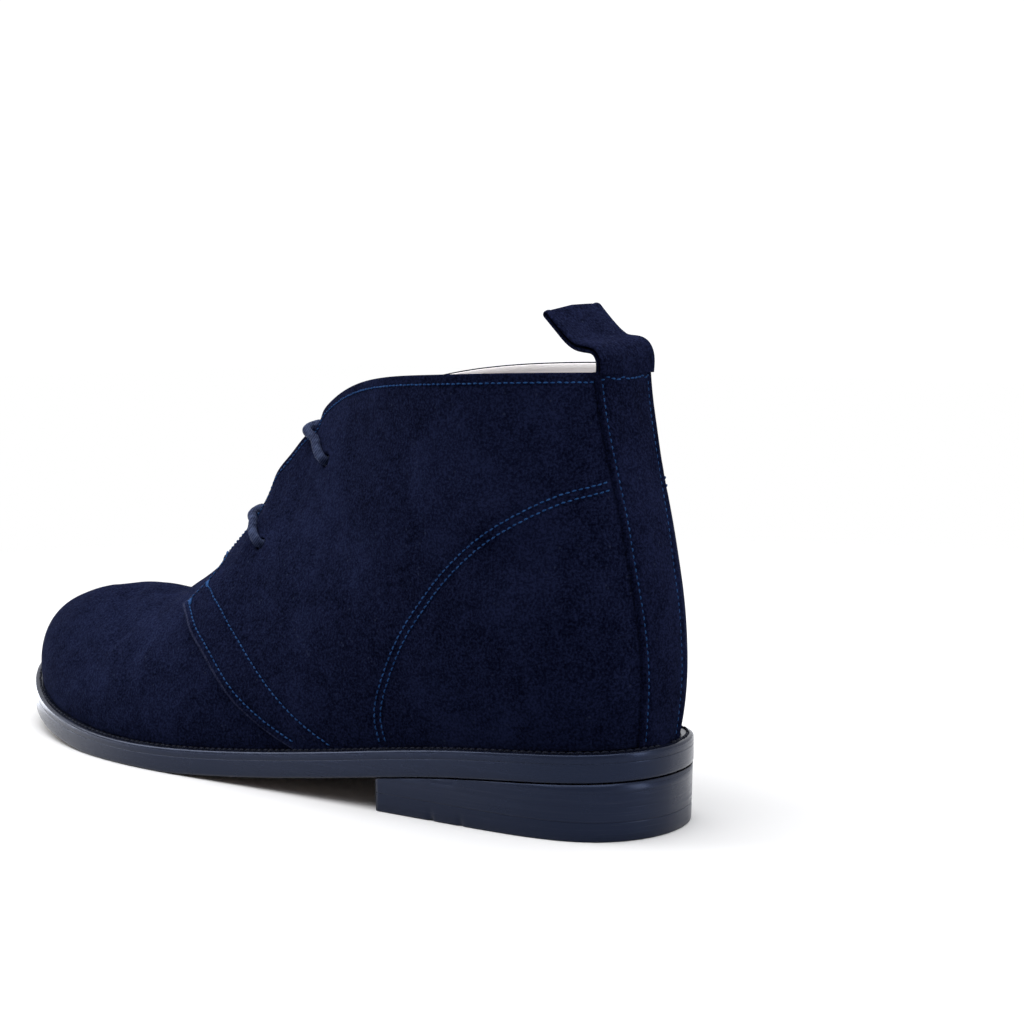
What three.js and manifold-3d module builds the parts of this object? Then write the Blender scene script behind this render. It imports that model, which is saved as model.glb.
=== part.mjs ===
// Chukka boot for the left foot, after the way it is made: an upper drawn over a last, closed
// underneath by insole, welt, outsole and a stacked heel. Millimetres. +X points to the toe, +Y to
// the wearer's left, which is the outer side of a left boot, and +Z up. The boot stands on z = 0.
// The origin is on the floor under the middle of the heel.

import * as THREE from 'three';
import { mergeVertices } from 'three/addons/utils/BufferGeometryUtils.js';
import Module from 'manifold-3d';

const wasm = await Module();
wasm.setup();

const HEEL_CENTRE = 40;        // from the heel's back to the origin
const FEATHER_START = 2.2;     // where the upper meets the welt at the back
const FEATHER_LENGTH = 296.8;   // from there to the upper's edge at the toe tip
const WALL = 2.2;              // suede and lining together
const GAP = 0.3;               // between neighbouring pieces
const WELT = 2.8;
const OUTSOLE = 5.9;
const WELT_STRIP = 9;          // how far the welt reaches in under the upper
const INSOLE = 3;
const TOP_LIFT = 6;
const BREAST = 86;             // the heel's front face, from the heel's back
const HEEL_TAPER = 0.6;
const STRAP_WIDTH = 27;
const STRAP_FOOT = 19;         // its width on the welt, where it is narrowest
const STRAP = 1.5;
const LOOP_PLY = 1.6;          // the loop is two plies of suede, lying together
const LOOP_TWIST = 0.09;       // how much the loop's inner side stands higher, for each mm across
const LACE = 3.2;
const EYELET = 5.2;
const TONGUE = 2;
const TONGUE_WIDTH = 52;
const TONGUE_ROOM = 4.0;       // room for the lace between quarter and tongue

const RIBS = 50;               // sections from heel to toe, on each side
const RIB_STEPS = 13;          // steps up each section
const THROAT = 0.68;           // where the slit between the facings ends

// The edge that the upper makes on the welt. `at` runs from 0 at the heel's back to 1 at the toe
// tip, outer and inner are the outline's sides, height is above the floor, swell and rise are
// where the section heads as it leaves the welt, and edge is how far the welt stands out.
const FEATHER = [
  { at: 0.0, outer: 0.0, inner: 0.0, height: 27.8, swell: 7.5, rise: 35, edge: 4.8 },
  { at: 0.1, outer: 19.0, inner: -21.0, height: 27.5, swell: 7.5, rise: 36, edge: 4.4 },
  { at: 0.2, outer: 28.5, inner: -29.5, height: 26.2, swell: 8.0, rise: 37, edge: 3.9 },
  { at: 0.3, outer: 32.5, inner: -30.5, height: 23.2, swell: 8.0, rise: 38, edge: 3.5 },
  { at: 0.4, outer: 36.0, inner: -26.5, height: 17.4, swell: 7.5, rise: 38, edge: 3.2 },
  { at: 0.5, outer: 39.6, inner: -29.0, height: 11.6, swell: 6.0, rise: 35, edge: 3.2 },
  { at: 0.6, outer: 42.6, inner: -40.0, height: 8.8, swell: 5.0, rise: 27, edge: 3.4 },
  { at: 0.7, outer: 36.8, inner: -44.5, height: 10.3, swell: 4.5, rise: 23, edge: 3.3 },
  { at: 0.8, outer: 23.5, inner: -39.5, height: 14.8, swell: 4.5, rise: 20, edge: 3.1 },
  { at: 0.9, outer: 6.5, inner: -26.5, height: 20.4, swell: 4.0, rise: 17, edge: 2.9 },
  { at: 1.0, outer: -9.5, inner: -9.5, height: 23.4, swell: 3.5, rise: 15, edge: 2.8 },
];

// The upper's top line: the collar, round the corner down the facing's edge to the throat, then
// along the ridge of the vamp to the top of the toe box. ahead, out and down are where the section
// heads as it leaves the top line.
const TOP_LINE = [
  { at: 0.0, along: 16.0, side: 0.0, height: 139.6, raise: 0.0, ahead: -4.5, out: 0.0, down: 35 },
  { at: 0.1, along: 20.0, side: 17.5, height: 140.0, raise: 0.5, ahead: -4.0, out: 0.5, down: 36 },
  { at: 0.2, along: 37.0, side: 30.5, height: 139.8, raise: 1.5, ahead: -2.0, out: 0.0, down: 38 },
  { at: 0.3, along: 67.0, side: 33.0, height: 138.6, raise: 2.2, ahead: 0.0, out: 0.5, down: 40 },
  { at: 0.4, along: 104.0, side: 22.5, height: 135.2, raise: 1.8, ahead: 0.0, out: 2.5, down: 42 },
  { at: 0.5, along: 139.0, side: 9.0, height: 121.5, raise: 0.6, ahead: -2.0, out: 6.5, down: 31 },
  { at: 0.6, along: 168.0, side: 6.0, height: 90.5, raise: 0.0, ahead: -4.0, out: 11.5, down: 19 },
  { at: 0.7, along: 204.0, side: 0.0, height: 59.4, raise: 0.0, ahead: 1.0, out: 21.0, down: 2 },
  { at: 0.8, along: 233.0, side: 0.0, height: 56.0, raise: 0.0, ahead: 10.0, out: 22.0, down: 0 },
  { at: 0.9, along: 247.0, side: 0.0, height: 54.4, raise: 0.0, ahead: 21.0, out: 13.0, down: 0.5 },
  { at: 1.0, along: 251.0, side: 0.0, height: 53.8, raise: 0.0, ahead: 24.0, out: 0.0, down: 1 },
];

// A smooth curve through one column of a table, with no bend at its ends.
function column(rows, name) {
  const count = rows.length;
  const bend = new Array(count).fill(0);
  const share = new Array(count).fill(0);
  const slope = (i) => (rows[i + 1][name] - rows[i][name]) / (rows[i + 1].at - rows[i].at);
  for (let i = 1; i < count - 1; i += 1) {
    const width = rows[i + 1].at - rows[i - 1].at;
    const ratio = (rows[i].at - rows[i - 1].at) / width;
    const pivot = ratio * share[i - 1] + 2;
    share[i] = (ratio - 1) / pivot;
    bend[i] = ((6 * (slope(i) - slope(i - 1))) / width - ratio * bend[i - 1]) / pivot;
  }
  for (let i = count - 2; i > 0; i -= 1) {
    bend[i] += share[i] * bend[i + 1];
  }
  return (at) => {
    let i = rows.findIndex((row) => row.at > at) - 1;
    i = i < 0 ? count - 2 : i;
    const width = rows[i + 1].at - rows[i].at;
    const b = (at - rows[i].at) / width;
    const a = 1 - b;
    const curve = ((a ** 3 - a) * bend[i] + (b ** 3 - b) * bend[i + 1]) * (width ** 2 / 6);
    return a * rows[i][name] + b * rows[i + 1][name] + curve;
  };
}

function columns(rows) {
  const names = Object.keys(rows[0]).filter((name) => name !== 'at');
  return Object.fromEntries(names.map((name) => [name, column(rows, name)]));
}

const feather = columns(FEATHER);
const topLine = columns(TOP_LINE);

const OUTER = 1;
const INNER = -1;

function featherAlong(at) {
  return FEATHER_START + (FEATHER_LENGTH * (1 - Math.cos(Math.PI * at))) / 2;
}

// The outline's outward direction, seen from above.
function outward(at, side) {
  if (at <= 0 || at >= 1) {
    return new THREE.Vector3(at <= 0 ? -1 : 1, 0, 0);
  }
  const step = 1e-4;
  const edge = side === OUTER ? feather.outer : feather.inner;
  const run = featherAlong(at + step) - featherAlong(at - step);
  const shift = edge(at + step) - edge(at - step);
  return new THREE.Vector3(-shift * side, run * side, 0).normalize();
}

// A point of the sole's outline, moved out by `offset`, at `lift` above the upper's edge.
function outlinePoint(at, side, offset, lift) {
  const edge = side === OUTER ? feather.outer : feather.inner;
  const point = new THREE.Vector3(featherAlong(at), edge(at), feather.height(at) + lift);
  return point.addScaledVector(outward(at, side), offset);
}

// A point of the upper's outside: `up` runs from 0 on the welt to 1 on the top line.
function upperPoint(at, side, up) {
  const foot = outlinePoint(at, side, 0, 0);
  const footHandle = outlinePoint(at, side, feather.swell(at), feather.rise(at));
  const ridge = at >= THROAT ? 0 : Math.max(topLine.side(at), 0);
  const raise = side === INNER && at < THROAT ? topLine.raise(at) : 0;
  const head = new THREE.Vector3(topLine.along(at), side * ridge, topLine.height(at) + raise);
  const reach = at >= 1 ? 0 : topLine.out(at);
  const headHandle = head.clone().add(new THREE.Vector3(topLine.ahead(at), side * reach, -topLine.down(at)));
  return new THREE.CubicBezierCurve3(foot, footHandle, headHandle, head).getPoint(up);
}

// The upper's outward direction at a point of its outside.
function upperNormal(at, side, up) {
  const step = 1e-3;
  const [low, high] = [Math.max(up - step, 0), Math.min(up + step, 1)];
  const [back, front] = [Math.max(at - step, 0), Math.min(at + step, 1)];
  const rise = upperPoint(at, side, high).sub(upperPoint(at, side, low));
  const run = upperPoint(front, side, up).sub(upperPoint(back, side, up));
  return rise.cross(run).multiplyScalar(side).normalize();
}

// A point `depth` inside the upper's outside.
function withinUpper(at, side, up, depth) {
  return upperPoint(at, side, up).addScaledVector(upperNormal(at, side, up), -depth);
}

// How far up a section a point lies that is `distance` below its top line.
function upBelowTop(at, side, distance) {
  const step = 0.004;
  let up = 1;
  let walked = 0;
  while (walked < distance && up > step) {
    walked += upperPoint(at, side, up).distanceTo(upperPoint(at, side, up - step));
    up -= step;
  }
  return up;
}

// Which section a point lies on that is `distance` round from the back seam.
function atRoundBack(up, side, distance) {
  const step = 0.0005;
  let at = 0;
  let walked = 0;
  while (walked < distance) {
    walked += upperPoint(at, side, up).distanceTo(upperPoint(at + step, side, up));
    at += step;
  }
  return at - (step * (walked - distance)) / Math.max(walked, step);
}

// Joins rows of points into one sheet whose shared vertices are merged. Each patch is a list of
// rows of equal length; `flip` turns its faces over.
function sheet(patches) {
  const points = [];
  const known = new Map();
  const triangles = [];
  const indexOf = (point) => {
    const key = point.toArray().map((value) => Math.round(value * 1e4)).join();
    if (!known.has(key)) {
      known.set(key, points.length);
      points.push(point);
    }
    return known.get(key);
  };
  const add = (a, b, c) => {
    if (a !== b && b !== c && c !== a) {
      triangles.push([a, b, c]);
    }
  };
  for (const { rows, flip } of patches) {
    const grid = rows.map((row) => row.map(indexOf));
    for (let i = 0; i + 1 < grid.length; i += 1) {
      for (let j = 0; j + 1 < grid[i].length; j += 1) {
        const [a, b, c, d] = [grid[i][j], grid[i][j + 1], grid[i + 1][j + 1], grid[i + 1][j]];
        add(a, flip ? c : b, flip ? b : c);
        add(a, flip ? d : c, flip ? c : d);
      }
    }
  }
  return { points, triangles };
}

function toGeometry(points, triangles) {
  const geometry = new THREE.BufferGeometry();
  const flat = points.flatMap((point) => point.toArray());
  geometry.setAttribute('position', new THREE.Float32BufferAttribute(flat, 3));
  geometry.setIndex(triangles.flat());
  return geometry;
}

// Gives a sheet its thickness, from `outer` to `inner` along its normals, and closes its rims.
// Where `level` holds for a point, it moves sideways only, so that a foot stays on its plane.
function thicken({ points, triangles }, outer, inner, level = () => false) {
  const normals = points.map(() => new THREE.Vector3());
  for (const [a, b, c] of triangles) {
    const across = points[b].clone().sub(points[a]);
    const normal = across.cross(points[c].clone().sub(points[a]));
    [a, b, c].forEach((i) => normals[i].add(normal));
  }
  normals.forEach((normal, i) => {
    normal.z = level(points[i]) ? 0 : normal.z;
    normal.normalize();
  });
  const shifted = (by) => points.map((point, i) => point.clone().addScaledVector(normals[i], by));
  const count = points.length;
  const all = [];
  const edges = new Set(triangles.flatMap(([a, b, c]) => [`${a},${b}`, `${b},${c}`, `${c},${a}`]));
  for (const [a, b, c] of triangles) {
    all.push([a, b, c], [a + count, c + count, b + count]);
    for (const [from, to] of [[a, b], [b, c], [c, a]]) {
      if (!edges.has(`${to},${from}`)) {
        all.push([to, from, from + count], [to, from + count, to + count]);
      }
    }
  }
  return toGeometry([...shifted(outer), ...shifted(inner)], all);
}

function range(from, to, steps) {
  return Array.from({ length: steps + 1 }, (_, i) => from + ((to - from) * i) / steps);
}

function toSolid(geometry) {
  const bare = geometry.clone();
  bare.deleteAttribute('normal');
  bare.deleteAttribute('uv');
  const merged = mergeVertices(bare, 1e-4);
  const vertProperties = new Float32Array(merged.attributes.position.array);
  const triVerts = new Uint32Array(merged.index.array);
  return new wasm.Manifold(new wasm.Mesh({ numProp: 3, vertProperties, triVerts }));
}

function fromSolid(solid) {
  const { vertProperties, triVerts } = solid.getMesh();
  const geometry = new THREE.BufferGeometry();
  geometry.setAttribute('position', new THREE.BufferAttribute(vertProperties, 3));
  geometry.setIndex(new THREE.BufferAttribute(triVerts, 1));
  return geometry;
}

// The eyelets, one pair to a row: the section, how far below the facing's edge they are punched,
// and the section where their lace crosses the edge.
const EYELETS = [
  { at: 0.456, drop: 21.3, over: 0.517 },
  { at: 0.536, drop: 36.5, over: 0.612 },
];

function eyelet({ at, drop }, side, depth) {
  return withinUpper(at, side, upBelowTop(at, side, drop), depth);
}

function upper() {
  const sections = range(0, 1, RIBS);
  const steps = range(0, 1, RIB_STEPS);
  const rowsOn = (side) => sections.map((at) => steps.map((up) => upperPoint(at, side, up)));
  const foot = new Set([OUTER, INNER].flatMap((side) => rowsOn(side).map((row) => row[0].z)));
  const shell = sheet([
    { rows: rowsOn(OUTER), flip: false },
    { rows: rowsOn(INNER), flip: true },
  ]);
  let solid = toSolid(thicken(shell, 0, -WALL, (point) => foot.has(point.z)));
  for (const side of [OUTER, INNER]) {
    for (const row of EYELETS) {
      const punch = new THREE.CylinderGeometry(EYELET / 2, EYELET / 2, 4 * WALL, 16);
      const centre = eyelet(row, side, WALL / 2);
      const through = eyelet(row, side, 0).sub(centre).normalize();
      punch.applyQuaternion(new THREE.Quaternion().setFromUnitVectors(new THREE.Vector3(0, 1, 0), through));
      punch.translate(...centre.toArray());
      solid = solid.subtract(toSolid(punch));
    }
  }
  return fromSolid(solid);
}

// The tongue lies under the facings from below the throat to just under the collar. Its sections
// follow the quarters at the depth that the lace needs, and arch across between them.
function tongue() {
  const top = 0.455;
  const foot = 0.73;
  const arch = 8;
  const rows = range(foot, top, 14).map((at) => {
    const slack = THREE.MathUtils.smoothstep(THROAT - at, -0.02, 0.06);
    const depth = WALL + GAP + slack * (TONGUE_ROOM - GAP);
    const half = (side) => {
      const lowest = upBelowTop(at, side, TONGUE_WIDTH / 2);
      const highest = upBelowTop(at, side, slack * arch);
      return range(lowest, highest, 6).map((up) => withinUpper(at, side, up, depth));
    };
    const [outer, inner] = [half(OUTER), half(INNER).reverse()];
    const ahead = upperNormal(at, OUTER, 1).add(upperNormal(at, INNER, 1)).normalize();
    const sag = WALL + GAP + slack * (arch - WALL - GAP);
    const middle = upperPoint(at, OUTER, 1).lerp(upperPoint(at, INNER, 1), 0.5).addScaledVector(ahead, -sag);
    const across = slack > 0 ? [...outer, middle, ...inner] : [...outer, ...inner.slice(1)];
    return new THREE.CatmullRomCurve3(across, false, 'centripetal').getSpacedPoints(14);
  });
  return thicken(sheet([{ rows, flip: true }]), 0, -TONGUE);
}

function outline(sections) {
  const there = sections.map((at) => ({ at, side: OUTER }));
  const back = sections.map((at) => ({ at, side: INNER })).reverse();
  return [...there, ...back].filter(({ at, side }) => side === OUTER || (at > 0 && at < 1));
}

// A plate with the sole's outline, from rings listed from its underside up. Each ring gives a
// point for a place on the outline. A hollow plate's rings close on themselves, any other has a
// flat sheet across its first and its last ring.
function plate(rings, sections, hollow = false) {
  const places = outline(sections);
  const closed = [...places, places[0]];
  const shown = hollow ? [...rings, rings[0]] : rings;
  const patches = [{ rows: shown.map((ring) => closed.map(ring)), flip: true }];
  if (!hollow) {
    const across = (ring) => sections.map((at) => [OUTER, INNER].map((side) => ring({ at, side })));
    patches.push({ rows: across(rings[0]), flip: true });
    patches.push({ rows: across(rings.at(-1)), flip: false });
  }
  const { points, triangles } = sheet(patches);
  return toGeometry(points, triangles);
}

// A ring `inset` inside the upper's edge, or outside it where that is negative, `lift` above it.
function ring(inset, lift) {
  return ({ at, side }) => outlinePoint(at, side, -inset, lift);
}

// A ring on the welt's and outsole's edge, drawn in by `inset`.
function edgeRing(inset, lift, floor = 0) {
  return ({ at, side }) => {
    const point = outlinePoint(at, side, feather.edge(at) - inset, lift);
    point.z = Math.max(point.z, floor);
    return point;
  };
}

const ALL_ROUND = range(0, 1, 40);
const WELT_TOP = -GAP;
const WELT_FOOT = WELT_TOP - WELT;
const OUTSOLE_TOP = WELT_FOOT - GAP;
const OUTSOLE_FOOT = OUTSOLE_TOP - OUTSOLE;

function insole() {
  const core = WELT_STRIP + GAP;
  const board = WALL + GAP;
  const rings = [
    ring(core, WELT_FOOT), ring(core, GAP), ring(board, GAP), ring(board, GAP + INSOLE),
  ];
  return plate(rings, ALL_ROUND);
}

function welt() {
  const rings = [
    edgeRing(0, WELT_FOOT), edgeRing(0, WELT_TOP), ring(WELT_STRIP, WELT_TOP), ring(WELT_STRIP, WELT_FOOT),
  ];
  return plate(rings, ALL_ROUND, true);
}

function outsole() {
  const bevel = 0.8;
  const rings = [
    edgeRing(bevel, OUTSOLE_FOOT), edgeRing(0, OUTSOLE_FOOT + bevel, bevel),
    edgeRing(0, OUTSOLE_TOP),
  ];
  return plate(rings, ALL_ROUND);
}

// The heel's pieces end at the breast, a flat face across the boot.
function heelSections() {
  const last = Math.acos(1 - (2 * (BREAST - FEATHER_START)) / FEATHER_LENGTH) / Math.PI;
  return range(0, last, 18);
}

function heelRing(height) {
  return ({ at, side }) => {
    const under = feather.height(at) + OUTSOLE_FOOT - GAP;
    const z = height === null ? under : height;
    const taper = HEEL_TAPER * (1 - z / FEATHER[0].height);
    const point = outlinePoint(at, side, feather.edge(at) - taper, 0);
    point.x = Math.min(point.x, BREAST);
    point.z = z;
    return point;
  };
}

function heelStack() {
  return plate([heelRing(TOP_LIFT + GAP), heelRing(null)], heelSections());
}

function topLift() {
  return plate([heelRing(0), heelRing(TOP_LIFT)], heelSections());
}

function backStrap() {
  const rows = range(0, 1, 14).map((up) => {
    const width = STRAP_FOOT + (STRAP_WIDTH - STRAP_FOOT) * THREE.MathUtils.clamp(up, 0, 1);
    return range(-1, 1, 8).map((across) => {
      const side = across < 0 ? INNER : OUTER;
      return upperPoint(atRoundBack(up, side, (Math.abs(across) * width) / 2), side, up);
    });
  });
  const foot = new Set(rows[0].map((point) => point.z));
  return thicken(sheet([{ rows, flip: true }]), GAP + STRAP, GAP, (point) => foot.has(point.z));
}

// The loop's middle line, seen from the side: up from the collar, forward over it, and up again
// to the fold.
const LOOP = [
  { along: 15.6, height: 140.8 },
  { along: 15.7, height: 144.8 },
  { along: 17.9, height: 147.8 },
  { along: 21.6, height: 148.6 },
  { along: 25.3, height: 149.4 },
  { along: 30.5, height: 153.4 },
  { along: 36.3, height: 159.0 },
];

function pullLoop() {
  const start = LOOP[0].height;
  const line = new THREE.CatmullRomCurve3(LOOP.map(({ along, height }) => new THREE.Vector3(along, 0, height)));
  const rows = line.getSpacedPoints(22).map((point) => range(-1, 1, 6).map((across) => {
    const y = (across * STRAP_WIDTH) / 2;
    const free = Math.min((point.z - start) / 10, 1);
    return new THREE.Vector3(point.x, y, point.z - y * LOOP_TWIST * free);
  }));
  return thicken(sheet([{ rows, flip: true }]), LOOP_PLY, -LOOP_PLY);
}

// One lace: out through each eyelet, straight across the facings, in through the one opposite,
// and along the inside from one pair of eyelets to the next.
function lace() {
  const inside = WALL + LACE / 2 + GAP;
  const proud = LACE / 2 + 2 * GAP;
  const [high, low] = EYELETS;
  const towards = ({ at, drop, over }, side, share, depth) => {
    const section = THREE.MathUtils.lerp(at, over, share);
    return eyelet({ at: section, drop: drop * (1 - share) }, side, depth);
  };
  const half = (row, side) => [
    eyelet(row, side, 0.9 * inside), eyelet(row, side, WALL / 2), eyelet(row, side, -0.6 * proud),
    towards(row, side, 0.3, -proud), towards(row, side, 0.65, -proud), towards(row, side, 1, -proud),
  ];
  const bar = (row, side) => {
    const [there, back] = [half(row, side), half(row, -side).reverse()];
    const ahead = upperNormal(row.over, OUTER, 1).add(upperNormal(row.over, INNER, 1)).normalize();
    const middle = there.at(-1).clone().lerp(back[0], 0.5).addScaledVector(ahead, proud);
    return [...there, middle, ...back];
  };
  const between = (side) => [0.12, 0.5, 0.88].map((share) => {
    const at = THREE.MathUtils.lerp(high.at, low.at, share);
    const drop = THREE.MathUtils.lerp(high.drop, low.drop, share);
    return eyelet({ at, drop }, side, inside);
  });
  const end = between(INNER);
  const route = [
    ...bar(high, INNER), ...between(OUTER), ...bar(low, OUTER), ...end.reverse(),
  ];
  const path = new THREE.CatmullRomCurve3(route, false, 'centripetal');
  const section = new THREE.Shape();
  section.absarc(0, 0, LACE / 2, 0, 2 * Math.PI);
  const settings = { steps: 80, extrudePath: path, curveSegments: 4, bevelEnabled: false };
  return new THREE.ExtrudeGeometry(section, settings);
}

const NAVY = 0x0d1430;
const BLACK = 0x101014;

const boot = new THREE.Group();
boot.position.x = -HEEL_CENTRE;

function addPiece(name, geometry, color, roughness, metalness = 0) {
  const material = new THREE.MeshStandardMaterial({ color, roughness, metalness });
  const mesh = new THREE.Mesh(geometry, material);
  mesh.name = name;
  boot.add(mesh);
}

addPiece('upper', upper(), NAVY, 0.95);
addPiece('tongue', tongue(), NAVY, 0.95);
addPiece('insole', insole(), 0xb09070, 0.6);
addPiece('welt', welt(), BLACK, 0.45);
addPiece('outsole', outsole(), BLACK, 0.35);
addPiece('heel_stack', heelStack(), BLACK, 0.4);
addPiece('top_lift', topLift(), BLACK, 0.6);
addPiece('back_strap', backStrap(), NAVY, 0.95);
addPiece('pull_loop', pullLoop(), NAVY, 0.95);
addPiece('lace', lace(), NAVY, 0.8);

export default boot;
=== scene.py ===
import math

import bmesh
import bpy
import numpy as np
from mathutils import Matrix, Vector
from mathutils.kdtree import KDTree


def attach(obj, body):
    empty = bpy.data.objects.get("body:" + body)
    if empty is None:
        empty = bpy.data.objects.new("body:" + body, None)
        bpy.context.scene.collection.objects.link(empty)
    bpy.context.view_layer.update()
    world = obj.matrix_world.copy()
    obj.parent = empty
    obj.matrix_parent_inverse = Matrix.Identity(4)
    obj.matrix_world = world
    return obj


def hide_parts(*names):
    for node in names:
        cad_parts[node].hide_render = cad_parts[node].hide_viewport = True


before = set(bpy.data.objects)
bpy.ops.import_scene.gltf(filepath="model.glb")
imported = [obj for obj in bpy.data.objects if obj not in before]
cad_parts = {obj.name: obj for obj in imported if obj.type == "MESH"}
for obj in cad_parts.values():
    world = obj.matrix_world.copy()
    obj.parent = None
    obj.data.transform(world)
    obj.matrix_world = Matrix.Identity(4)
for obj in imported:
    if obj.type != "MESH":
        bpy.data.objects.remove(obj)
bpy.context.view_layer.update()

# Camera: a long lens a little above the boot, behind its outer side, so that the toe points
# away to the left and the heel comes to the front on the right.
METRE = 1000                          # in mm, as the boot's own sizes are
HEEL_CENTRE = 40                      # from the heel's back to the origin
view_side, sensor_width = 1024, 36
lens_length = 2095                    # in 1024ths of the view's width
horizon = 291.3                       # below the view's top, in the same steps
camera_height = 164.6
turn = math.radians(39.8)
sideways, distance = 46.4, 627.0
pitch = math.atan((view_side / 2 - horizon) / lens_length)
ahead = Vector((math.sin(turn), -math.cos(turn), 0))
forward = ahead * math.cos(pitch) - Vector((0, 0, math.sin(pitch)))
rightward = Vector((-math.cos(turn), -math.sin(turn), 0))
upward = rightward.cross(forward)
camera_data = bpy.data.cameras.new("camera")
camera_data.sensor_width = sensor_width
camera_data.lens = lens_length * sensor_width / view_side
camera_data.clip_start = 0.01
camera = bpy.data.objects.new("camera", camera_data)
bpy.context.collection.objects.link(camera)
camera.matrix_world = Matrix.Translation((
    (sideways * math.cos(turn) - distance * math.sin(turn) - HEEL_CENTRE) / METRE,
    (sideways * math.sin(turn) + distance * math.cos(turn)) / METRE,
    camera_height / METRE)) @ Matrix((rightward, upward, -forward)).transposed().to_4x4()
bpy.context.scene.camera = camera

# ----------------------------------------
# Quarters: the two sides of the boot, cut from navy suede about 1.4 mm thick and drawn over the
# last. They run from the back seam to the facings and lap over the vamp, with their front edges
# cut raw. Two eyelets are punched through each facing.

FEATHER_START, FEATHER_LENGTH = 2.2, 296.8
THROAT = 0.68                         # the section where the slit between the facings ends
feather_table = np.array([
    # section, outer edge, inner edge, height, swell, rise, welt's reach
    (0.0, 0.0, 0.0, 27.8, 7.5, 35, 4.8),
    (0.1, 19.0, -21.0, 27.5, 7.5, 36, 4.4),
    (0.2, 28.5, -29.5, 26.2, 8.0, 37, 3.9),
    (0.3, 32.5, -30.5, 23.2, 8.0, 38, 3.5),
    (0.4, 36.0, -26.5, 17.4, 7.5, 38, 3.2),
    (0.5, 39.6, -29.0, 11.6, 6.0, 35, 3.2),
    (0.6, 42.6, -40.0, 8.8, 5.0, 27, 3.4),
    (0.7, 36.8, -44.5, 10.3, 4.5, 23, 3.3),
    (0.8, 23.5, -39.5, 14.8, 4.5, 20, 3.1),
    (0.9, 6.5, -26.5, 20.4, 4.0, 17, 2.9),
    (1.0, -9.5, -9.5, 23.4, 3.5, 15, 2.8),
])
top_line_table = np.array([
    # section, along, side, height, inner side's lift, then where the section heads
    (0.0, 16.0, 0.0, 139.6, 0.0, -4.5, 0.0, 35),
    (0.1, 20.0, 17.5, 140.0, 0.5, -4.0, 0.5, 36),
    (0.2, 37.0, 30.5, 139.8, 1.5, -2.0, 0.0, 38),
    (0.3, 67.0, 33.0, 138.6, 2.2, 0.0, 0.5, 40),
    (0.4, 104.0, 22.5, 135.2, 1.8, 0.0, 2.5, 42),
    (0.5, 139.0, 9.0, 121.5, 0.6, -2.0, 6.5, 31),
    (0.6, 168.0, 6.0, 90.5, 0.0, -4.0, 11.5, 19),
    (0.7, 204.0, 0.0, 59.4, 0.0, 1.0, 21.0, 2),
    (0.8, 233.0, 0.0, 56.0, 0.0, 10.0, 22.0, 0),
    (0.9, 247.0, 0.0, 54.4, 0.0, 21.0, 13.0, 0.5),
    (1.0, 251.0, 0.0, 53.8, 0.0, 24.0, 0.0, 1),
])


def smooth_columns(table):
    """A smooth curve through each column of a table, against its first column."""
    at, values = table[:, 0], table[:, 1:]
    count, width = len(at), np.diff(at)[:, None]
    slope = np.diff(values, axis=0) / width
    matrix, right = np.eye(count), np.zeros_like(values)
    for i in range(1, count - 1):
        matrix[i, i - 1:i + 2] = width[i - 1, 0], 2 * (width[i - 1, 0] + width[i, 0]), width[i, 0]
        right[i] = 6 * (slope[i] - slope[i - 1])
    bend = np.linalg.solve(matrix, right)

    def curve(where):
        where = np.asarray(where, float)
        i = np.clip(np.searchsorted(at, where, side="right") - 1, 0, count - 2)
        step = width[i, 0][..., None]
        b = (where - at[i])[..., None] / step
        a = 1 - b
        bent = ((a ** 3 - a) * bend[i] + (b ** 3 - b) * bend[i + 1]) * step ** 2 / 6
        return np.moveaxis(a * values[i] + b * values[i + 1] + bent, -1, 0)

    return curve


feather = smooth_columns(feather_table)
top_line = smooth_columns(top_line_table)


def feather_along(at):
    return FEATHER_START + FEATHER_LENGTH * (1 - np.cos(np.pi * at)) / 2


def unit(vectors):
    return vectors / np.maximum(np.linalg.norm(vectors, axis=-1, keepdims=True), 1e-9)


def together(*values):
    """The values as arrays of one shape."""
    return np.broadcast_arrays(*(np.asarray(value, float) for value in values))


def walked_along(line):
    """How far along a line each of its points lies."""
    return np.concatenate([[0], np.cumsum(np.linalg.norm(np.diff(line, axis=0), axis=1))])


def outward(at, side):
    """The sole outline's outward direction, seen from above."""
    low, high = np.clip(at - 1e-4, 0, 1), np.clip(at + 1e-4, 0, 1)
    edge = lambda where: np.where(side > 0, feather(where)[0], feather(where)[1])
    run = feather_along(high) - feather_along(low)
    way = np.stack([(edge(low) - edge(high)) * side, run * side, 0 * run], -1)
    way = np.where((at <= 0)[..., None], [-1.0, 0, 0], way)
    return unit(np.where((at >= 1)[..., None], [1.0, 0, 0], way))


def outline_point(at, side, offset, lift):
    """A point `offset` outside the sole's outline and `lift` above it."""
    at, side = together(at, side)
    outer, inner, height = feather(at)[:3]
    point = np.stack([feather_along(at), np.where(side > 0, outer, inner), height + lift], -1)
    return point + outward(at, side) * np.asarray(offset)[..., None]


def facing_pull(at):
    """How far the lace draws the facing's edge back, and lets it stand forward between."""
    waves = (-2.6, 0.506, 0.016), (2.2, 0.566, 0.018), (1.7, 0.645, 0.024)
    return sum(height * np.exp(-((at - middle) / width) ** 2) for height, middle, width in waves)


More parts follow.
